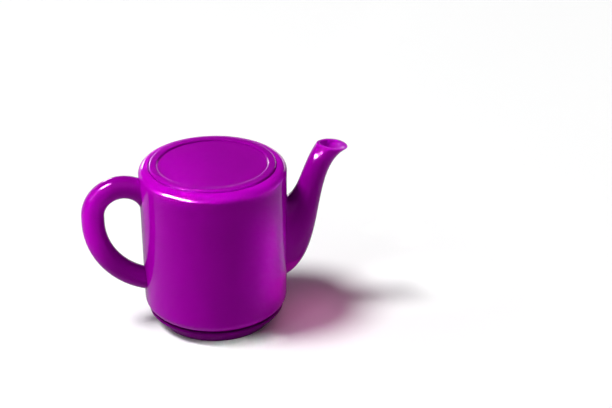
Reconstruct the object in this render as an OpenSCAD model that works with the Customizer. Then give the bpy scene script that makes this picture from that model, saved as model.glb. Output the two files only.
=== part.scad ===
// Toy kettle: a drafted round body with a press-in lid, a bottom plug, a hollow ear handle and a hollow spout
// Origin at the centre of the foot's underside, +Z up, +X along the spout, and the handle along -X

/* [Body] */
// Outside radius of the wall just under the shoulder
body_r = 35; // [31:0.5:42]
// How much the radius shrinks towards the lower edge
body_draft = 0.5; // [0:0.1:1.5]
// Height from the lower edge to the flat top
body_h = 73; // [68:0.5:90]
// Thickness of the wall
body_wall = 2; // [1.2:0.1:2.6]
// Rounding from the wall to the top
shoulder_r = 3.5; // [2.5:0.1:5]
// Rounding from the wall to the underside
lower_edge_r = 5; // [3:0.1:6]
// Width of the flat land between the shoulder and the lid
top_land = 1.2; // [0.6:0.1:3]

/* [Lid] */
// Depth of the lid seat below the flat top
seat_depth = 1.2; // [0.6:0.1:2]
// Width of the ledge that carries the lid
ledge_w = 2.3; // [1.5:0.1:4]
// Thickness of the ledge
ledge_t = 2; // [1.2:0.1:3]
// Height of the rim above the body's flat top
rim_proud = 1; // [0.4:0.1:2]
// Width of the rim
rim_w = 4; // [3:0.1:6]
// Rounding of the rim's outer edge
rim_edge_r = 1; // [0.2:0.1:1.2]
// Depth of the sunk panel below the rim
panel_drop = 1; // [0.3:0.1:1.5]
// Thickness of the panel and of the skirt
lid_wall = 1.6; // [1:0.1:2.4]
// Length of the skirt below the ledge's face
skirt_h = 5; // [3:0.5:9]

/* [Base] */
// Height of the foot below the body
foot_h = 7.5; // [4:0.5:12]
// How far the foot's underside stands in from the wall's lower edge
foot_inset = 7; // [6:0.5:10]
// How much further out the foot reaches at its top
foot_flare = 5.2; // [3:0.1:6]
// Height of the foot's upright upper edge
foot_land = 1.2; // [0.8:0.1:2.5]
// Rounding of the foot's upper edge
foot_edge_r = 0.5; // [0.3:0.1:0.7]
// Thickness of the floor and of the neck
base_wall = 2; // [1.2:0.1:3]
// Width of the step that seats against the body
base_step = 2; // [1.2:0.1:3]
// Length of the neck inside the body
neck_h = 5; // [3:0.5:9]

/* [Handle] */
// Radius of the tube
handle_tube_r = 5.4; // [4:0.1:6.5]
// Thickness of the tube's wall
handle_wall = 2; // [1.2:0.1:2.6]
// Radius of the upper bend, along the tube's middle
upper_bend_r = 14.1; // [12:0.1:16]
// Length of the straight grip between the bends
grip_l = 3; // [1:0.5:8]
// Radius of the long lower bend, along the tube's middle
lower_bend_r = 34; // [30:0.5:38]
// Distance from the wall to the upper bend's centre
handle_stand = 8.3; // [6:0.1:12]
// Depth of the upper bend's centre below the flat top
handle_drop = 21.5; // [19:0.1:26]
// Radius of the spigots that plug into the wall
spigot_r = 4.2; // [3:0.1:4.8]
// Thickness of the spigots' wall
spigot_wall = 1.5; // [1:0.1:2]
// How steeply the upper spigot runs down into the wall, in degrees
spigot_tilt = 40; // [25:1:45]
// Length of each spigot inside the tube
spigot_lead = 3; // [1:0.5:4]
// How far the spigots stand through the wall
handle_spigot = 1.5; // [0.5:0.1:3]

/* [Spout] */
// Height of the root's lower end above the body's lower edge
root_low = 10.5; // [8:0.5:16]
// Height of the root along the wall
root_h = 41.5; // [34:0.5:46]
// Width of the root across the wall
root_w = 22; // [16:0.5:26]
// Width of the neck
neck_w = 11; // [9:0.1:14]
// Thickness of the shell
spout_wall = 1.6; // [1:0.1:2.2]
// Distance from the wall to the beak's tip
beak_reach = 30.3; // [24:0.1:36]
// Length of the mouth from its rear lip to the beak's tip
mouth_l = 15; // [12:0.1:17]
// Width of the mouth
mouth_w = 13; // [10:0.1:16]
// Height of the rear lip above the root's upper end
mouth_rise = 27; // [22:0.5:34]
// How much lower the beak's tip is than the rear lip
beak_drop = 2.5; // [0:0.1:5]
// How much wider the mouth is towards the beak, as a share of its width
beak_flare = 0.15; // [0:0.05:0.4]
// Pull of the lower edge near the root: outwards from the wall
belly_out = 21.5; // [15:0.5:26]
// Pull of the lower edge near the root: upwards from the root's lower end
belly_up = 12; // [8:0.5:18]
// Pull of the lower edge near the beak: outwards from the wall
throat_out = 10.5; // [8:0.5:14]
// Pull of the lower edge near the beak: downwards from the beak's tip
throat_down = 9; // [4:0.5:16]
// Pull of the upper edge near the root: outwards from the wall
crook_out = 6.5; // [4:0.5:8]
// Pull of the upper edge near the root: upwards from the root's upper end
crook_up = 1.5; // [0:0.5:4]
// Pull of the upper edge near the mouth: outwards from the wall
nape_out = 7.5; // [5:0.5:10]
// Pull of the upper edge near the mouth: downwards from the rear lip
nape_down = 12; // [7:0.5:16]
// How far the root stands through the wall
root_spigot = 1.5; // [0.5:0.1:3]

/* [Fits] */
// Radial gap between the lid and its seat
lid_gap = 0.3; // [0.2:0.05:0.5]
// Gap around each bonded joint
bond_gap = 0.1; // [0.05:0.05:0.2]

/* [Hidden] */
$fn = 96;
purple = [0.62, 0.02, 0.66];

// Heights
low_z = foot_h;
top_z = low_z + body_h;
seat_z = top_z - seat_depth;
rim_z = top_z + rim_proud;
panel_z = rim_z - panel_drop;
skirt_z = seat_z - skirt_h;

// Radii of the body, lid and base
low_r = body_r - body_draft;
seat_r = body_r - shoulder_r - top_land;
mouth_r = seat_r - ledge_w;
lid_r = seat_r - lid_gap;
skirt_r = mouth_r - lid_gap;
foot_r = low_r - foot_inset;
foot_top_r = foot_r + foot_flare;
neck_r = foot_r - base_step;
socket_r = neck_r + bond_gap;

// Handle: centres of the two bends, as [x, z]
upper_bend = [-(body_r + handle_stand), top_z - handle_drop];
lower_bend = upper_bend + [lower_bend_r - upper_bend_r, -grip_l];
handle_bore_r = handle_tube_r - handle_wall;
spigot_bore_r = spigot_r - spigot_wall;
handle_end_r = body_r - body_wall - handle_spigot;
// The upper bend ends where its inner side comes to the wall
upper_end = acos(min(1, handle_stand / (upper_bend_r - handle_tube_r)));
// The lower bend ends where its middle has come in to half of the body's radius
lower_end = 360 - acos((-body_r / 2 - lower_bend[0]) / lower_bend_r);
// The lower spigot starts this far round the lower bend, ahead of the wall
lower_spigot_lead = spigot_lead / lower_bend_r * 180 / PI;
lower_spigot_start = 360 - acos((-body_r - lower_bend[0]) / lower_bend_r) - lower_spigot_lead;
// The upper spigot is long enough to come through the wall on all sides
upper_spigot_l = spigot_lead + 2 * (spigot_r + body_wall + handle_spigot);

// Spout: control points of its two edges, as [x, z]
root_low_z = low_z + root_low;
root_high_z = root_low_z + root_h;
lip_z = root_high_z + mouth_rise;
beak_x = body_r + beak_reach;
lower_edge = [
    [wall_r(root_low_z), root_low_z],
    [body_r + belly_out, root_low_z + belly_up],
    [body_r + throat_out, lip_z - beak_drop - throat_down],
    [beak_x, lip_z - beak_drop]
];
upper_edge = [
    [wall_r(root_high_z), root_high_z],
    [body_r + crook_out, root_high_z + crook_up],
    [body_r + nape_out, lip_z - nape_down],
    [beak_x - mouth_l, lip_z]
];
// Steps along the spout, and round half of each of its sections
spout_steps = 26;
section_steps = 14;
// How quickly the root's width dies away along the spout, and how late the mouth's width sets in
flare_power = 3;
mouth_power = 5;

// Rounding inside the lower edge, with a least value, and how far a cut runs past the face that it opens
inner_edge_r = max(lower_edge_r - body_wall, 0.5);
cut_over = 1;

// Outside radius of the drafted wall at a height
function wall_r(z) =
    low_r + body_draft * (z - low_z - lower_edge_r) / (body_h - shoulder_r - lower_edge_r);

// Point on a cubic curve with four control points
function curve(c, t) =
    pow(1 - t, 3) * c[0] + 3 * pow(1 - t, 2) * t * c[1] + 3 * (1 - t) * t * t * c[2] + pow(t, 3) * c[3];

// Half width of the spout along its length, from the root over the neck to the mouth
function spout_half_w(t) =
    neck_w / 2
    + (root_w - neck_w) / 2 * pow(1 - t, flare_power)
    + (mouth_w - neck_w) / 2 * pow(t, mouth_power);

// How far the wall falls back from its outermost line at a distance to the side
function wall_back(y, z) = sqrt(pow(wall_r(z), 2) - y * y) - wall_r(z);

// Point of the spout's section at t, a degrees round from the lower edge, inset from the outside
function spout_point(t, a, inset) =
    let (low = curve(lower_edge, t))
    let (high = curve(upper_edge, t))
    let (middle = (low + high) / 2)
    let (half = norm(low - high) / 2)
    let (along = (low - high) / (2 * half))
    let (spread = 1 + beak_flare * pow(t, mouth_power) * cos(a))
    let (xz = middle + along * (half - inset) * cos(a))
    let (y = (spout_half_w(t) - inset) * sin(a) * spread)
    [xz[0] + wall_back(y, xz[1]) * pow(1 - t, flare_power), -y, xz[1]];

// Closed loop round half of the shell: out along the outside, back along the bore
function spout_loop(t) = concat(
    [for (i = [0 : section_steps]) spout_point(t, 180 * i / section_steps, 0)],
    [for (i = [section_steps : -1 : 0]) spout_point(t, 180 * i / section_steps, spout_wall)]
);

// The root's loop moved straight in through the wall
function root_loop() = [
    for (p = spout_loop(0)) [body_r - body_wall - root_spigot, p[1], p[2]]
];

// What rounds off the outer corner at [x, y] of a half section: a lower corner, or an upper one
module outer_corner_cut(x, y, r, upper) {
    translate([x, y])
        mirror([0, upper ? 1 : 0])
            difference() {
                translate([-r, -r]) square(2 * r);
                translate([-r, r]) circle(r);
                translate([-3 * r, -2 * r]) square([2 * r, 4 * r]);
                translate([-2 * r, r]) square([4 * r, 2 * r]);
            }
}

// Half section of the body as if it were full, inset from the outside
module body_outline(inset, bottom, top, edge_r) {
    difference() {
        polygon([
            [0, bottom],
            [low_r - inset, bottom],
            [low_r - inset, low_z + lower_edge_r],
            [wall_r(top) - inset, top],
            [0, top]
        ]);
        outer_corner_cut(low_r - inset, bottom, edge_r, false);
    }
}

// Half section of the body's wall
module body_section() {
    difference() {
        body_outline(0, low_z, top_z, lower_edge_r);
        outer_corner_cut(wall_r(top_z), top_z, shoulder_r, true);
        body_outline(body_wall, low_z + body_wall, seat_z - ledge_t, inner_edge_r);
        translate([0, low_z + body_wall]) square([mouth_r, body_h]);
        translate([0, seat_z]) square([seat_r, seat_depth + rim_proud]);
        translate([0, low_z - cut_over]) square([socket_r, body_wall + 2 * cut_over]);
    }
}

// Carries a flat section round a bend in the middle plane, from the first direction to the second
module round_bend(centre, r, from, to) {
    rotate([90, 0, 0])
        translate(centre)
            rotate(from)
                rotate_extrude(angle = to - from)
                    translate([r, 0]) children();
}

// Carries a flat section straight along the line that leaves a bend in the given direction
module straight_run(centre, r, from, lead, length) {
    rotate([90, 0, 0])
        translate(centre)
            rotate(from)
                translate([r, lead, 0])
                    rotate([90, 0, 0])
                        linear_extrude(length) children();
}

// Front half of a ring
module half_ring(r, bore_r) {
    difference() {
        circle(r);
        circle(bore_r);
        translate([-r, -2 * r]) square(2 * r);
    }
}

// The body as a plain solid cone, grown by the gap of a bonded joint
module wall_cone() {
    translate([0, 0, low_z])
        cylinder(h = body_h, r1 = wall_r(low_z) + bond_gap, r2 = wall_r(top_z) + bond_gap);
}

// Carries a flat section along the handle's tube, on through the wall
module along_tube() {
    round_bend(upper_bend, upper_bend_r, 180, upper_end) children();
    straight_run(lower_bend, lower_bend_r, 180, 0, grip_l) children();
    round_bend(lower_bend, lower_bend_r, 180, lower_end) children();
}

// Carries a flat section along both spigots
module along_spigots() {
    straight_run(upper_bend, upper_bend_r, 90 - spigot_tilt, spigot_lead, upper_spigot_l) children();
    round_bend(lower_bend, lower_bend_r, lower_spigot_start, lower_end) children();
}

// Front half of the handle: the tube ends on the wall, and its spigots end just inside the wall
module handle_half() {
    difference() {
        union() {
            difference() {
                along_tube() half_ring(handle_tube_r, handle_bore_r);
                wall_cone();
            }
            along_spigots() half_ring(spigot_r, spigot_bore_r);
        }
        cylinder(h = 2 * top_z, r = handle_end_r);
    }
}

// Straight oval plug that opens the wall for the spout's root
module root_hole() {
    half_h = root_h / 2 + bond_gap;
    half_w = root_w / 2 + bond_gap;
    translate([body_r / 2, 0, root_low_z + root_h / 2])
        rotate([90, 0, 90])
            linear_extrude(body_r)
                polygon([
                    for (i = [0 : 2 * section_steps - 1])
                        let (a = 180 * i / section_steps)
                        [half_w * sin(a), half_h * cos(a)]
                ]);
}

// Shell through a row of closed loops, with both end faces made of strips
module loft_half_shell(loops) {
    count = len(loops[0]);
    last = len(loops) - 1;
    strip = count / 2 - 1;
    points = [for (loop = loops) each loop];
    sides = [
        for (s = [0 : last - 1])
            for (i = [0 : count - 1])
                let (j = (i + 1) % count)
                [s * count + i, s * count + j, (s + 1) * count + j, (s + 1) * count + i]
    ];
    start_face = [
        for (i = [0 : strip - 1])
            [i, count - 1 - i, count - 2 - i, i + 1]
    ];
    end_face = [
        for (i = [0 : strip - 1])
            [for (k = [i, i + 1, count - 2 - i, count - 1 - i]) last * count + k]
    ];
    polyhedron(points, concat(sides, start_face, end_face), convexity = 8);
}

module body_shell() {
    color(purple)
        difference() {
            rotate_extrude() body_section();
            along_spigots() circle(spigot_r + bond_gap);
            root_hole();
        }
}

module lid() {
    color(purple)
        rotate_extrude()
            difference() {
                union() {
                    translate([lid_r - rim_w, seat_z]) square([rim_w, rim_z - seat_z]);
                    translate([0, panel_z - lid_wall]) square([lid_r - rim_w, lid_wall]);
                    translate([skirt_r - lid_wall, skirt_z]) square([lid_wall, panel_z - skirt_z]);
                }
                outer_corner_cut(lid_r, rim_z, rim_edge_r, true);
            }
}

module base_plug() {
    color(purple)
        rotate_extrude()
            difference() {
                union() {
                    polygon([
                        [0, 0],
                        [foot_r, 0],
                        [foot_top_r, foot_h - foot_land],
                        [foot_top_r, foot_h],
                        [0, foot_h]
                    ]);
                    square([neck_r, foot_h + neck_h]);
                }
                translate([0, base_wall]) square([neck_r - base_wall, foot_h + neck_h]);
                outer_corner_cut(foot_top_r, foot_h, foot_edge_r, true);
            }
}

module handle_front_shell() {
    color(purple) handle_half();
}

module handle_rear_shell() {
    color(purple) mirror([0, 1, 0]) handle_half();
}

module spout_front_shell() {
    color(purple)
        loft_half_shell(concat([root_loop()], [for (s = [0 : spout_steps]) spout_loop(s / spout_steps)]));
}

module spout_rear_shell() {
    mirror([0, 1, 0]) spout_front_shell();
}

body_shell();
lid();
base_plug();
handle_front_shell();
handle_rear_shell();
spout_front_shell();
spout_rear_shell();
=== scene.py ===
import math

import bmesh
import bpy
from mathutils import Euler, Matrix, Vector


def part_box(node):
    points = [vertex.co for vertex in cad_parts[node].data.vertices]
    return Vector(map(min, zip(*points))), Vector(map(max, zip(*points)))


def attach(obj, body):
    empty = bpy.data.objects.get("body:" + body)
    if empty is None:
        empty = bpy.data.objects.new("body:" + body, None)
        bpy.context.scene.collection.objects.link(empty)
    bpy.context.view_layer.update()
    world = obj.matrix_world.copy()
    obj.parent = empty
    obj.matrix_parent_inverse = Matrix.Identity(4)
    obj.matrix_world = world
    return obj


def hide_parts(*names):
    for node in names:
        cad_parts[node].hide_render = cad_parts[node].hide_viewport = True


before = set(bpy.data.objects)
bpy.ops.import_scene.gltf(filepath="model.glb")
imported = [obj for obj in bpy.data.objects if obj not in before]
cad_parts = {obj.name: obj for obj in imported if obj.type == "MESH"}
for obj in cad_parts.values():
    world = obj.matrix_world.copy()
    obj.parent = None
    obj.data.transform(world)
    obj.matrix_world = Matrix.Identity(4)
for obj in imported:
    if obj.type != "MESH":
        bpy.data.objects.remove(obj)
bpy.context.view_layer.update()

# Units and mesh fineness
MM = 0.001
MERGE = 0.002 * MM
TURN_STEPS = 192
ARC_STEPS = 10
ROW = 2.5 * MM
RING_STEPS = 96
BEND_STEP = 2
SHARP_EDGE = math.radians(32)

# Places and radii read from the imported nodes
body_low, body_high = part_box("body_shell")
lid_low, lid_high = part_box("lid")
base_low, base_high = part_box("base_plug")
handle_low, handle_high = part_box("handle_front_shell")
spout_low, spout_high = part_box("spout_front_shell")

# Body wall
BODY_R = body_high.y
BODY_DRAFT = 0.5 * MM
BODY_WALL = 2 * MM
SHOULDER_R = 3.5 * MM
LOWER_EDGE_R = 5 * MM
INNER_EDGE_R = LOWER_EDGE_R - BODY_WALL
LOW_Z = body_low.z
TOP_Z = body_high.z
SOFT_EDGE = 0.25 * MM
LAND_EDGE_R = 0.6 * MM

# Lid and its seat
LID_R = lid_high.x
LID_GAP = 0.12 * MM
RIM_Z = lid_high.z
RIM_W = 4 * MM
RIM_EDGE_R = 1 * MM
RIM_CREST_R = 0.8 * MM
PANEL_Z = RIM_Z - 1 * MM
LID_WALL = 1.6 * MM
SEAT_R = LID_R + LID_GAP
SEAT_Z = TOP_Z - 1.2 * MM
LEDGE_T = 2 * MM
MOUTH_R = SEAT_R - 2.3 * MM
SKIRT_R = MOUTH_R - LID_GAP
SKIRT_Z = lid_low.z

# Base plug
FOOT_TOP_R = base_high.x
FOOT_R = FOOT_TOP_R - 5.2 * MM
FOOT_LAND = 1.2 * MM
FOOT_EDGE_R = 0.5 * MM
BASE_WALL = 2 * MM
NECK_R = FOOT_R - 2 * MM
NECK_Z = base_high.z
BOND_GAP = 0.1 * MM
SOCKET_R = NECK_R + BOND_GAP

# Handle
TUBE_R = 5.4 * MM
TUBE_BORE_R = 3.4 * MM
UPPER_BEND_R = 14.1 * MM
LOWER_BEND_R = 34 * MM
GRIP_L = 3 * MM
UPPER_TURN = 170
LOWER_TURN = 100
SPIGOT_R = 4.2 * MM
SPIGOT_BORE_R = 2.7 * MM
SPIGOT_TILT = 40
SPIGOT_LEAD = 3 * MM
SPIGOT_L = 18.4 * MM
LOWER_SPIGOT_START = 65
INNER_END_R = BODY_R - BODY_WALL - 1.5 * MM
GRIP_X = handle_low.x + TUBE_R
UPPER_BEND = Vector((GRIP_X + UPPER_BEND_R, 0, handle_high.z - TUBE_R - UPPER_BEND_R))
LOWER_BEND = Vector((GRIP_X + LOWER_BEND_R, 0, UPPER_BEND.z - GRIP_L))

# Spout
SPOUT_WALL = 1.6 * MM
SPOUT_STEPS = 72
ROOT_W = 22 * MM
ROOT_H = 41.5 * MM
NECK_W = 11 * MM
MOUTH_W = 13 * MM
BEAK_FLARE = 0.15
FLARE_POWER = 3
MOUTH_POWER = 5
LIP_R = 0.5 * MM
LIP_BACK = 0.0095
LIP_STEPS = 5
ROOT_LOW_Z = spout_low.z
ROOT_HIGH_Z = ROOT_LOW_Z + ROOT_H
LIP_Z = spout_high.z
BEAK_X = spout_high.x
MOUTH_L = 15 * MM
BEAK_DROP = 2.5 * MM
LOWER_LEAVE = Vector((21.5, 0, 12)) * MM
LOWER_ARRIVE = Vector((10.5, 0, -9)) * MM
UPPER_LEAVE = Vector((6.5, 0, 1.5)) * MM
UPPER_ARRIVE = Vector((7.5, 0, -12)) * MM
UNIT_BORE = 0.999

# Plastic
DEEP_PURPLE = (0.37, 0, 0.395)
PALE_PURPLE = (0.41, 0, 0.435)
GLOSS_TINT = (1, 0.13, 1, 1)
BLEED_COLOUR = (1, 0.1, 1)
FLOW_SCALE = 45
RUB_SCALE = 260
SMOOTHEST = 0.03
ROUGHEST = 0.07
RIPPLE_SCALE = 130
RIPPLE_STRENGTH = 0.06
RIPPLE_HEIGHT = 0.1 * MM

# Floor and background
FLOOR_HALF = 3.0
FLOOR_WHITE = 0.95
BOUNCE = 0.6
AMBIENT = 0.05

# Lamps
KETTLE_MIDDLE = Vector((0, 0, (TOP_Z + base_low.z) / 2))
LAMP_DISTANCE = 1.2
KEY_STRENGTH = 3.15
KEY_SIZE = math.radians(17)
KEY_HEIGHT = 62
KEY_SIDE = -90
UPRIGHT = Vector((0, 0, 1))
THROAT = Vector((53.5, 0, 80.5)) * MM
THROAT_GLOW_R = 1.5 * MM
THROAT_GLOW_POWER = 0.0004
SHADED_SIDE = Vector((42, -12, 28)) * MM
SHADOW_GLOW_W = 40 * MM
SHADOW_GLOW_POWER = 0.0042
SHADOW_TINT = (1, 0.26, 0.6)

# Camera
CAMERA_PLACE = Vector((-99.2, -650.4, 395.0)) * MM
CAMERA_TILT = math.radians(62.93)
CAMERA_TURN = math.radians(-12.5)
CAMERA_LENS = 91.18
SENSOR_W = 36


# Meshes

def wall_r(z):
    """Outside radius of the drafted wall at a height."""
    run = TOP_Z - SHOULDER_R - LOW_Z - LOWER_EDGE_R
    return BODY_R - BODY_DRAFT + BODY_DRAFT * (z - LOW_Z - LOWER_EDGE_R) / run


def mesh_object(name, shape):
    """Closes a shape's seams, turns its faces outwards and makes it an object at the origin."""
    bmesh.ops.remove_doubles(shape, verts=shape.verts, dist=MERGE)
    bmesh.ops.recalc_face_normals(shape, faces=shape.faces)
    mesh = bpy.data.meshes.new(name)
    shape.to_mesh(mesh)
    shape.free()
    made = bpy.data.objects.new(name, mesh)
    bpy.context.scene.collection.objects.link(made)
    return made


def combine(piece, tool, operation):
    """Cuts a tool object out of a piece, or joins it on, and removes the tool."""
    step = piece.modifiers.new("combine", "BOOLEAN")
    step.operation = operation
    step.solver = "EXACT"
    step.object = tool
    ready = piece.evaluated_get(bpy.context.evaluated_depsgraph_get())
    mesh = bpy.data.meshes.new_from_object(ready)
    piece.modifiers.clear()
    piece.data = mesh
    bpy.data.objects.remove(tool)


def turned(name, corners, closed):
    """Spins a half section round the kettle's axis. A corner is its radius, height and rounding."""
    shape = bmesh.new()
    points = [shape.verts.new((r, 0, z)) for r, z, _ in corners]
    for a, b in zip(points, points[1:]):
        shape.edges.new((a, b))
    if closed:
        shape.edges.new((points[-1], points[0]))
    for point, (_, _, rounding) in zip(points, corners):
        if rounding:
            bmesh.ops.bevel(shape, geom=[point], offset=rounding, offset_type="OFFSET", segments=ARC_STEPS,
                            profile=0.5, affect="VERTICES", material=-1)
    for edge in shape.edges[:]:
        cuts = int(edge.calc_length() / ROW)
        if cuts:
            bmesh.ops.subdivide_edges(shape, edges=[edge], cuts=cuts)
    bmesh.ops.spin(shape, geom=shape.verts[:] + shape.edges[:], cent=(0, 0, 0), axis=(0, 0, 1),
                   dvec=(0, 0, 0), angle=2 * math.pi, steps=TURN_STEPS, use_merge=True)
    return mesh_object(name, shape)


def half_ring(shape, radius, bore_r):
    """Edges of the front half of a ring, flat round the origin, as one closed loop."""
    ends = []
    for r in (radius, bore_r):
        circle = bmesh.ops.create_circle(shape, cap_ends=False, radius=r, segments=RING_STEPS)["verts"]
        bmesh.ops.delete(shape, geom=[v for v in circle if v.co.y > MERGE], context="VERTS")
        arc = [v for v in circle if v.is_valid]
        ends.append(sorted(arc, key=lambda v: v.co.x))
    for side in (0, -1):
        shape.edges.new((ends[0][side], ends[1][side]))
    return shape.edges[:]


def verts_of(edges):
    """The vertices of a row of edges, each once."""
    return list({v for e in edges for v in e.verts})


def new_verts(made):
    """The vertices among what a mesh operation made."""
    return [g for g in made if isinstance(g, bmesh.types.BMVert)]


def new_edges(made):
    """The edges among what a mesh operation made."""
    return [g for g in made if isinstance(g, bmesh.types.BMEdge)]


def bend(shape, edges, centre, degrees):
    """Carries a section round a bend, positive up and over, and gives its last edges."""
    made = bmesh.ops.spin(shape, geom=verts_of(edges) + edges, cent=centre, axis=(0, 1, 0), dvec=(0, 0, 0),
                          angle=math.radians(degrees), steps=int(abs(degrees) / BEND_STEP), use_merge=False)
    return new_edges(made["geom_last"])


def last_edges(made):
    """The edges of an extruded section that lie in its last loop."""
    return [e for e in new_edges(made) if len(e.link_faces) == 1]


def straight(shape, edges, way):
    """Carries a section along a straight line and gives its last edges."""
    made = bmesh.ops.extrude_edge_only(shape, edges=edges)["geom"]
    bmesh.ops.translate(shape, vec=way, verts=new_verts(made))
    return last_edges(made)


# Pieces

def body_wall():
    """The drafted pot with its shoulder, lid seat and socket, opened for the handle and the spout."""
    ledge_z = SEAT_Z - LEDGE_T
    floor_z = LOW_Z + BODY_WALL
    wall = turned("body_wall", [
        (SOCKET_R, LOW_Z, SOFT_EDGE),
        (wall_r(LOW_Z), LOW_Z, LOWER_EDGE_R),
        (wall_r(TOP_Z), TOP_Z, SHOULDER_R),
        (SEAT_R, TOP_Z, LAND_EDGE_R),
        (SEAT_R, SEAT_Z, SOFT_EDGE),
        (MOUTH_R, SEAT_Z, SOFT_EDGE),
        (MOUTH_R, ledge_z, SOFT_EDGE),
        (wall_r(ledge_z) - BODY_WALL, ledge_z, SOFT_EDGE),
        (wall_r(floor_z) - BODY_WALL, floor_z, INNER_EDGE_R),
        (SOCKET_R, floor_z, SOFT_EDGE),
    ], closed=True)
    combine(wall, root_plug(), "DIFFERENCE")
    combine(wall, spigot_plug(upper=True), "DIFFERENCE")
    combine(wall, spigot_plug(upper=False), "DIFFERENCE")
    return wall


def root_plug():
    """Straight oval plug that opens the wall for the spout's root."""
    shape = bmesh.new()
    oval = bmesh.ops.create_circle(shape, cap_ends=True, radius=1, segments=RING_STEPS)["verts"]
    bmesh.ops.scale(shape, vec=(ROOT_H / 2 + BOND_GAP, ROOT_W / 2 + BOND_GAP, 1), verts=oval)
    bmesh.ops.rotate(shape, cent=(0, 0, 0), matrix=Matrix.Rotation(math.radians(90), 3, "Y"), verts=oval)
    bmesh.ops.translate(shape, vec=(BODY_R / 2, 0, ROOT_LOW_Z + ROOT_H / 2), verts=oval)
    far = bmesh.ops.extrude_face_region(shape, geom=shape.faces[:])["geom"]
    bmesh.ops.translate(shape, vec=(BODY_R, 0, 0), verts=new_verts(far))
    return mesh_object("root_plug", shape)


def spigot_start(shape, edges, upper):
    """Moves a flat section to where the upper or lower spigot starts, inside the tube."""
    verts = verts_of(edges)
    if upper:
        turn = Matrix.Rotation(math.radians(90 + SPIGOT_TILT), 3, "Y")
        bmesh.ops.rotate(shape, cent=(0, 0, 0), matrix=turn, verts=verts)
        lean = math.radians(90 - SPIGOT_TILT)
        across = Vector((math.cos(lean), 0, math.sin(lean)))
        start = UPPER_BEND + across * UPPER_BEND_R - spigot_way() * SPIGOT_LEAD
        bmesh.ops.translate(shape, vec=start, verts=verts)
    else:
        bmesh.ops.translate(shape, vec=LOWER_BEND - Vector((LOWER_BEND_R, 0, 0)), verts=verts)
        turn = Matrix.Rotation(math.radians(-LOWER_SPIGOT_START), 3, "Y")
        bmesh.ops.rotate(shape, cent=LOWER_BEND, matrix=turn, verts=verts)


def spigot_way():
    """Direction of the upper spigot, down into the wall."""
    tilt = math.radians(SPIGOT_TILT)
    return Vector((math.cos(tilt), 0, -math.sin(tilt)))


def run_spigot(shape, edges, upper):
    """Carries a section along a spigot, through the wall, and gives its last edges."""
    if upper:
        return straight(shape, edges, spigot_way() * SPIGOT_L)
    return bend(shape, edges, LOWER_BEND, LOWER_SPIGOT_START - LOWER_TURN)


def spigot_plug(upper):
    """Round plug that opens the wall for one of the handle's spigots."""
    shape = bmesh.new()
    bmesh.ops.create_circle(shape, cap_ends=False, radius=SPIGOT_R + BOND_GAP, segments=RING_STEPS)
    edges = shape.edges[:]
    spigot_start(shape, edges, upper)
    end = run_spigot(shape, edges, upper)
    bmesh.ops.holes_fill(shape, edges=edges + end, sides=0)
    return mesh_object("spigot_plug", shape)


def press_in_lid():
    """The lid: a rounded rim round a sunk panel, with a skirt below."""
    panel_under_z = PANEL_Z - LID_WALL
    return turned("press_in_lid", [
        (0, PANEL_Z, 0),
        (LID_R - RIM_W, PANEL_Z, SOFT_EDGE),
        (LID_R - RIM_W, RIM_Z, RIM_CREST_R),
        (LID_R, RIM_Z, RIM_EDGE_R),
        (LID_R, SEAT_Z, SOFT_EDGE),
        (SKIRT_R, SEAT_Z, SOFT_EDGE),
        (SKIRT_R, SKIRT_Z, SOFT_EDGE),
        (SKIRT_R - LID_WALL, SKIRT_Z, SOFT_EDGE),
        (SKIRT_R - LID_WALL, panel_under_z, SOFT_EDGE),
        (0, panel_under_z, 0),
    ], closed=False)


def foot_plug():
    """The base plug: a foot that tapers down to its underside, and a neck inside the pot."""
    return turned("foot_plug", [
        (0, base_low.z, 0),
        (FOOT_R, base_low.z, FOOT_EDGE_R),
        (FOOT_TOP_R, LOW_Z - FOOT_LAND, SOFT_EDGE),
        (FOOT_TOP_R, LOW_Z, FOOT_EDGE_R),
        (NECK_R, LOW_Z, 0),
        (NECK_R, NECK_Z, SOFT_EDGE),
        (NECK_R - BASE_WALL, NECK_Z, SOFT_EDGE),
        (NECK_R - BASE_WALL, base_low.z + BASE_WALL, BASE_WALL / 2),
        (0, base_low.z + BASE_WALL, 0),
    ], closed=False)


def solid_core(name, radius_at, extra):
    """A plain round core that trims what reaches into the pot."""
    bottom = base_low.z - extra
    top = TOP_Z + extra
    return turned(name, [
        (0, bottom, 0),
        (radius_at(bottom), bottom, 0),
        (radius_at(top), top, 0),
        (0, top, 0),
    ], closed=False)


def handle_half():
    """Front half of the hollow handle: the tube ends on the wall, its spigots go through it."""
    shape = bmesh.new()
    section = half_ring(shape, TUBE_R, TUBE_BORE_R)
    bmesh.ops.translate(shape, vec=UPPER_BEND - Vector((UPPER_BEND_R, 0, 0)), verts=shape.verts[:])
    upper_end = bend(shape, section, UPPER_BEND, UPPER_TURN)
    grip_end = straight(shape, section, Vector((0, 0, -GRIP_L)))
    lower_end = bend(shape, grip_end, LOWER_BEND, -LOWER_TURN)
    bmesh.ops.holes_fill(shape, edges=upper_end + lower_end, sides=0)
    half = mesh_object("handle_front", shape)
    combine(half, solid_core("wall_core", lambda z: wall_r(z) + BOND_GAP, SPIGOT_R), "DIFFERENCE")
    for upper in (True, False):
        combine(half, spigot_half(upper), "UNION")
    combine(half, solid_core("inner_core", lambda z: INNER_END_R, SPIGOT_R), "DIFFERENCE")
    return half


def spigot_half(upper):
    """Front half of one of the hollow spigots."""
    shape = bmesh.new()
    section = half_ring(shape, SPIGOT_R, SPIGOT_BORE_R)
    spigot_start(shape, section, upper)
    end = run_spigot(shape, section, upper)
    bmesh.ops.holes_fill(shape, edges=section + end, sides=0)
    return mesh_object("spigot_half", shape)


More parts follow.
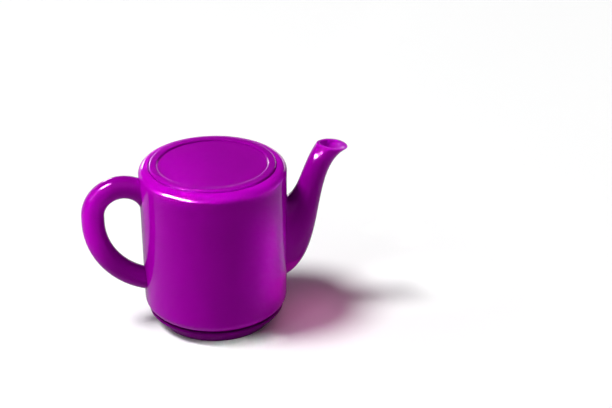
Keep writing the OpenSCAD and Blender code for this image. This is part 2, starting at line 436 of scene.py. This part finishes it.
def spout_edges():
    """Bezier points of the spout's lower and upper edges, from the root to the mouth."""
    lower = [
        Vector((wall_r(ROOT_LOW_Z), 0, ROOT_LOW_Z)),
        Vector((BODY_R, 0, ROOT_LOW_Z)) + LOWER_LEAVE,
        Vector((BODY_R, 0, LIP_Z - BEAK_DROP)) + LOWER_ARRIVE,
        Vector((BEAK_X, 0, LIP_Z - BEAK_DROP)),
    ]
    upper = [
        Vector((wall_r(ROOT_HIGH_Z), 0, ROOT_HIGH_Z)),
        Vector((BODY_R, 0, ROOT_HIGH_Z)) + UPPER_LEAVE,
        Vector((BODY_R, 0, LIP_Z)) + UPPER_ARRIVE,
        Vector((BEAK_X - MOUTH_L, 0, LIP_Z)),
    ]
    return lower, upper


def along(edge, t):
    """The place at a share of the way along one of the spout's edges."""
    root, leave, arrive, mouth = edge
    start = (root * (1 - t) + leave * 3 * t) * (1 - t) ** 2
    return start + (arrive * 3 * (1 - t) + mouth * t) * t ** 2


def spout_rows():
    """Shares of the way to the mouth, each with how far the lip's rounding draws the wall in there."""
    rows = [(step / SPOUT_STEPS, 0) for step in range(SPOUT_STEPS)]
    for step in range(LIP_STEPS + 1):
        turn = math.radians(90 * step / LIP_STEPS)
        rows.append((1 - LIP_BACK * (1 - math.sin(turn)), LIP_R * (1 - math.cos(turn))))
    return rows


def spout_half():
    """Front half of the hollow spout, from its collar inside the wall to the rounded lip of its mouth."""
    lower, upper = spout_edges()
    shape = bmesh.new()
    section = half_ring(shape, 1, UNIT_BORE)
    angle = shape.verts.layers.float.new("angle")
    inside = shape.verts.layers.float.new("inside")
    for v in shape.verts:
        v[angle] = math.atan2(-v.co.y, v.co.x)
        v[inside] = 1 if v.co.length < (1 + UNIT_BORE) / 2 else 0

    def lay_out(verts, t, drawn_in):
        """Puts a section's vertices where they belong at a share of the way along the spout."""
        flare = (1 - t) ** FLARE_POWER
        opening = t ** MOUTH_POWER
        half_w = NECK_W / 2 + (ROOT_W - NECK_W) / 2 * flare + (MOUTH_W - NECK_W) / 2 * opening
        low = along(lower, t)
        high = along(upper, t)
        middle = (low + high) / 2
        across = (low - high) / 2
        for v in verts:
            inset = drawn_in + v[inside] * (SPOUT_WALL - 2 * drawn_in)
            spread = 1 + BEAK_FLARE * opening * math.cos(v[angle])
            place = middle + across.normalized() * (across.length - inset) * math.cos(v[angle])
            place.y = -(half_w - inset) * math.sin(v[angle]) * spread
            r = wall_r(place.z)
            place.x += (math.sqrt(r * r - place.y ** 2) - r) * flare
            v.co = place

    lay_out(shape.verts, 0, 0)
    root = section
    for v in shape.verts:
        v.co.x = spout_low.x
    for t, drawn_in in spout_rows():
        made = bmesh.ops.extrude_edge_only(shape, edges=section)["geom"]
        lay_out(new_verts(made), t, drawn_in)
        section = last_edges(made)
    bmesh.ops.holes_fill(shape, edges=root + section, sides=0)
    return mesh_object("spout_front", shape)


def mirrored(name, front):
    """The rear half of a split piece, mirrored across the middle plane."""
    shape = bmesh.new()
    shape.from_mesh(front.data)
    bmesh.ops.scale(shape, vec=(1, -1, 1), verts=shape.verts)
    return mesh_object(name, shape)


# Materials

def noise(nodes, links, scale, detail):
    """A noise pattern in the piece's own coordinates."""
    place = nodes.new("ShaderNodeTexCoord")
    pattern = nodes.new("ShaderNodeTexNoise")
    pattern.inputs["Scale"].default_value = scale
    pattern.inputs["Detail"].default_value = detail
    links.new(place.outputs["Object"], pattern.inputs["Vector"])
    return pattern.outputs["Fac"]


def toned(colour, tone):
    """A colour made darker or paler, with its alpha. Its darker copies paint shade into a piece."""
    return (*(c * tone for c in colour), 1)


def moulded_plastic(name, tone, ior, bleed, depth):
    """Glossy purple moulding: flow marks in the colour, uneven gloss, a slight surface ripple; tone under 1
    paints shade.
    """
    plastic = bpy.data.materials.new(name)
    plastic.use_nodes = True
    nodes = plastic.node_tree.nodes
    links = plastic.node_tree.links
    shader = nodes["Principled BSDF"]
    shader.inputs["IOR"].default_value = ior
    shader.inputs["Specular Tint"].default_value = GLOSS_TINT
    shader.inputs["Subsurface Weight"].default_value = bleed
    shader.inputs["Subsurface Radius"].default_value = BLEED_COLOUR
    shader.inputs["Subsurface Scale"].default_value = depth

    shade = nodes.new("ShaderNodeValToRGB")
    deep, pale = shade.color_ramp.elements
    deep.position = 0.3
    deep.color = toned(DEEP_PURPLE, tone)
    pale.position = 0.7
    pale.color = toned(PALE_PURPLE, tone)
    links.new(noise(nodes, links, FLOW_SCALE, detail=4), shade.inputs["Fac"])
    links.new(shade.outputs["Color"], shader.inputs["Base Color"])

    gloss = nodes.new("ShaderNodeMapRange")
    gloss.inputs["To Min"].default_value = SMOOTHEST
    gloss.inputs["To Max"].default_value = ROUGHEST
    links.new(noise(nodes, links, RUB_SCALE, detail=6), gloss.inputs["Value"])
    links.new(gloss.outputs["Result"], shader.inputs["Roughness"])

    ripple = nodes.new("ShaderNodeBump")
    ripple.inputs["Strength"].default_value = RIPPLE_STRENGTH
    ripple.inputs["Distance"].default_value = RIPPLE_HEIGHT
    links.new(noise(nodes, links, RIPPLE_SCALE, detail=2), ripple.inputs["Height"])
    links.new(ripple.outputs["Normal"], shader.inputs["Normal"])
    return plastic


def floor_white():
    """Plain white floor for the kettle's shadow. The light that it scatters is duller than what is seen."""
    white = bpy.data.materials.new("floor_white")
    white.use_nodes = True
    nodes = white.node_tree.nodes
    links = white.node_tree.links
    shader = nodes["Principled BSDF"]
    tone = nodes.new("ShaderNodeMix")
    tone.data_type = "RGBA"
    path = nodes.new("ShaderNodeLightPath")
    links.new(path.outputs["Is Camera Ray"], tone.inputs["Factor"])
    tone.inputs["A"].default_value = (BOUNCE, BOUNCE, BOUNCE, 1)
    tone.inputs["B"].default_value = (FLOOR_WHITE, FLOOR_WHITE, FLOOR_WHITE, 1)
    links.new(tone.outputs["Result"], shader.inputs["Base Color"])
    shader.inputs["Roughness"].default_value = 1
    shader.inputs["Specular IOR Level"].default_value = 0
    return white


def finish_piece(piece, body, node, material):
    """Smooths a piece, keeps its sharp edges crisp, gives it its plastic and ties it to the frame."""
    shape = bmesh.new()
    shape.from_mesh(piece.data)
    for face in shape.faces:
        face.smooth = True
    for edge in shape.edges:
        edge.smooth = edge.calc_face_angle(0) < SHARP_EDGE
    shape.to_mesh(piece.data)
    shape.free()
    piece.data.materials.clear()
    piece.data.materials.append(material)
    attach(piece, body)
    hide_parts(node)


# Kettle

pot_purple = moulded_plastic("pot_purple", tone=1, ior=1.2, bleed=0.9, depth=4 * MM)
# Painted shade: the lid takes a darker copy of the pot's plastic, to dim its lit top.
lid_purple_painted_shade = moulded_plastic("lid_purple_painted_shade", tone=0.74, ior=1.2, bleed=0.9, depth=4 * MM)
# Painted shade: the foot takes a much darker copy of the pot's plastic, for the shade under the body.
foot_purple_painted_shade = moulded_plastic("foot_purple_painted_shade", tone=0.42, ior=1.05, bleed=0.1, depth=1 * MM)
# Painted shade: the handle takes a darker copy of the pot's plastic, for the shade beside the body.
handle_purple_painted_shade = moulded_plastic("handle_purple_painted_shade", tone=0.72, ior=1.2, bleed=0.1, depth=1 * MM)
# Painted shade: the spout takes a darker copy of the pot's plastic, for the body's shadow on its root.
spout_purple_painted_shade = moulded_plastic("spout_purple_painted_shade", tone=0.85, ior=1.2, bleed=0.8, depth=4 * MM)
finish_piece(body_wall(), "kettle", "body_shell", pot_purple)
finish_piece(press_in_lid(), "lid", "lid", lid_purple_painted_shade)
finish_piece(foot_plug(), "kettle", "base_plug", foot_purple_painted_shade)
handle_front = handle_half()
handle_rear = mirrored("handle_rear", handle_front)
finish_piece(handle_front, "kettle", "handle_front_shell", handle_purple_painted_shade)
finish_piece(handle_rear, "kettle", "handle_rear_shell", handle_purple_painted_shade)
spout_front = spout_half()
spout_rear = mirrored("spout_rear", spout_front)
finish_piece(spout_front, "kettle", "spout_front_shell", spout_purple_painted_shade)
finish_piece(spout_rear, "kettle", "spout_rear_shell", spout_purple_painted_shade)


# Floor, light and camera

def lay_floor():
    """A wide white floor under the foot."""
    shape = bmesh.new()
    bmesh.ops.create_grid(shape, x_segments=1, y_segments=1, size=FLOOR_HALF)
    floor = mesh_object("floor", shape)
    floor.data.materials.append(floor_white())


def towards(side, height):
    """Direction from the kettle to a light: degrees round from the front to the right, and upwards."""
    flat = math.cos(math.radians(height))
    turn = math.radians(side)
    return Vector((flat * math.sin(turn), -flat * math.cos(turn), math.sin(math.radians(height))))


def hang(lamp, place, source):
    """Hangs a lamp at a place, out of the camera's sight, so that it shines from a direction."""
    hung = bpy.data.objects.new(lamp.name, lamp)
    hung.location = place
    hung.rotation_euler = source.to_track_quat("Z", "Y").to_euler()
    hung.visible_camera = False
    bpy.context.scene.collection.objects.link(hung)
    return hung


def key_light():
    """One soft light from high on the left that throws the shadow to the right."""
    lamp = bpy.data.lights.new("key", "SUN")
    lamp.energy = KEY_STRENGTH
    lamp.angle = KEY_SIZE
    key = hang(lamp, KETTLE_MIDDLE, towards(KEY_SIDE, KEY_HEIGHT))
    key.visible_glossy = False


def flat_lamp(name, wide, tall, power, spread=180):
    """A rectangular lamp. Its spread, in degrees, is how far its light fans out."""
    lamp = bpy.data.lights.new(name, "AREA")
    lamp.shape = "RECTANGLE"
    lamp.size = wide
    lamp.size_y = tall
    lamp.energy = power
    lamp.spread = math.radians(spread)
    return lamp


def studio_panel(name, side, height, wide, tall, level):
    """A glowing panel at a side and height, both in degrees as its width is, aimed at the kettle."""
    panel_w = 2 * LAMP_DISTANCE * math.tan(math.radians(wide / 2))
    panel_h = 2 * LAMP_DISTANCE * math.tan(math.radians(tall / 2))
    lamp = flat_lamp(name, panel_w, panel_h, level * math.pi * panel_w * panel_h)
    source = towards(side, height)
    return hang(lamp, KETTLE_MIDDLE + source * LAMP_DISTANCE, source)


def soft_patch(name, aim, side, height, size, spread, power, away=150):
    """A narrow beam that lays a soft patch of light, or a glint, on one place. Lengths are in mm."""
    wide, tall = size
    source = towards(side, height)
    lamp = flat_lamp(name, wide * MM, tall * MM, power, spread)
    return hang(lamp, (Vector(aim) + source * away) * MM, source)


def throat_glow():
    """Light through the plastic that fills the throat of the spout."""
    lamp = bpy.data.lights.new("throat_glow", "POINT")
    lamp.shadow_soft_size = THROAT_GLOW_R
    lamp.energy = THROAT_GLOW_POWER
    return hang(lamp, THROAT, UPRIGHT)


def shadow_glow():
    """Light through the plastic that tints the shadow beside the body."""
    lamp = flat_lamp("shadow_glow", SHADOW_GLOW_W, SHADOW_GLOW_W, SHADOW_GLOW_POWER)
    lamp.color = SHADOW_TINT
    return hang(lamp, SHADED_SIDE, UPRIGHT)


def white_world():
    """Even ambient light, with a white background for what the camera sees."""
    world = bpy.data.worlds.new("studio")
    world.use_nodes = True
    nodes = world.node_tree.nodes
    links = world.node_tree.links
    nodes.clear()
    ambient = nodes.new("ShaderNodeBackground")
    ambient.inputs["Strength"].default_value = AMBIENT
    ambient.inputs["Color"].default_value = (1, 1, 1, 1)
    backdrop = nodes.new("ShaderNodeBackground")
    backdrop.inputs["Color"].default_value = (1, 1, 1, 1)
    backdrop.inputs["Strength"].default_value = 1
    mix = nodes.new("ShaderNodeMixShader")
    path = nodes.new("ShaderNodeLightPath")
    links.new(path.outputs["Is Camera Ray"], mix.inputs["Fac"])
    links.new(ambient.outputs["Background"], mix.inputs[1])
    links.new(backdrop.outputs["Background"], mix.inputs[2])
    out = nodes.new("ShaderNodeOutputWorld")
    links.new(mix.outputs["Shader"], out.inputs["Surface"])
    bpy.context.scene.world = world


def photo_camera():
    """Camera above and to the left of the kettle, at the photograph's angle."""
    data = bpy.data.cameras.new("camera")
    data.sensor_width = SENSOR_W
    data.sensor_fit = "HORIZONTAL"
    data.lens = CAMERA_LENS
    camera = bpy.data.objects.new("camera", data)
    camera.location = CAMERA_PLACE
    camera.rotation_euler = Euler((CAMERA_TILT, 0, CAMERA_TURN))
    bpy.context.scene.collection.objects.link(camera)
    bpy.context.scene.camera = camera


lay_floor()
key_light()
glints = [
    studio_panel("back_strip", side=174, height=6, wide=90, tall=8, level=5),
    studio_panel("front_softbox", side=-15, height=50, wide=110, tall=60, level=2.2),
    studio_panel("crest_panel", side=-168, height=16, wide=12, tall=6, level=30),
    soft_patch("handle_glint", aim=(-51, -3, 75.5), side=-80, height=58, size=(14, 34),
               spread=36, power=0.05, away=60),
    soft_patch("mouth_glint", aim=(61.7, 2.5, 83.6), side=-130, height=53, size=(10, 10),
               spread=20, power=0.0012, away=60),
    soft_patch("streak_left", aim=(-24.5, -24.4, 78.6), side=-82, height=16.5, size=(45, 20),
               spread=16, power=0.36),
    soft_patch("streak_mid", aim=(-20.3, -28.2, 78.4), side=-64, height=15.5, size=(45, 20),
               spread=16, power=0.36),
    soft_patch("streak_right", aim=(-16, -31, 78.3), side=-47, height=15.5, size=(45, 20),
               spread=16, power=0.12),
]
fills = [
    studio_panel("right_fill", side=95, height=12, wide=50, tall=20, level=0.4),
    studio_panel("left_fill", side=-80, height=42, wide=60, tall=20, level=2.2),
    soft_patch("right_patch", aim=(25, -25, 42), side=38, height=0, size=(22, 44),
               spread=12, power=0.0017),
    soft_patch("handle_patch", aim=(-60, 0, 57), side=-36, height=5, size=(16, 38),
               spread=10, power=0.0023),
    soft_patch("mouth_patch", aim=(58, 0, 85), side=-40, height=48, size=(12, 9),
               spread=6, power=0.0005),
    soft_patch("lid_patch", aim=(-18, 0, 80), side=-90, height=72, size=(44, 20),
               spread=14, power=0.0018),
    soft_patch("shoulder_patch", aim=(-2, -33, 80.7), side=-8, height=12, size=(60, 4),
               spread=3, power=0.001),
    soft_patch("floor_patch", aim=(106, 6, 0), side=90, height=80, size=(26, 44),
               spread=20, power=0.0014),
    soft_patch("front_patch", aim=(4, -31.5, 0), side=0, height=45, size=(48, 4),
               spread=3, power=0.0005),
    throat_glow(),
    shadow_glow(),
]
for glint in glints:
    glint.visible_diffuse = False
for fill in fills:
    fill.visible_glossy = False
white_world()
photo_camera()
bpy.context.scene.view_settings.view_transform = "Standard"
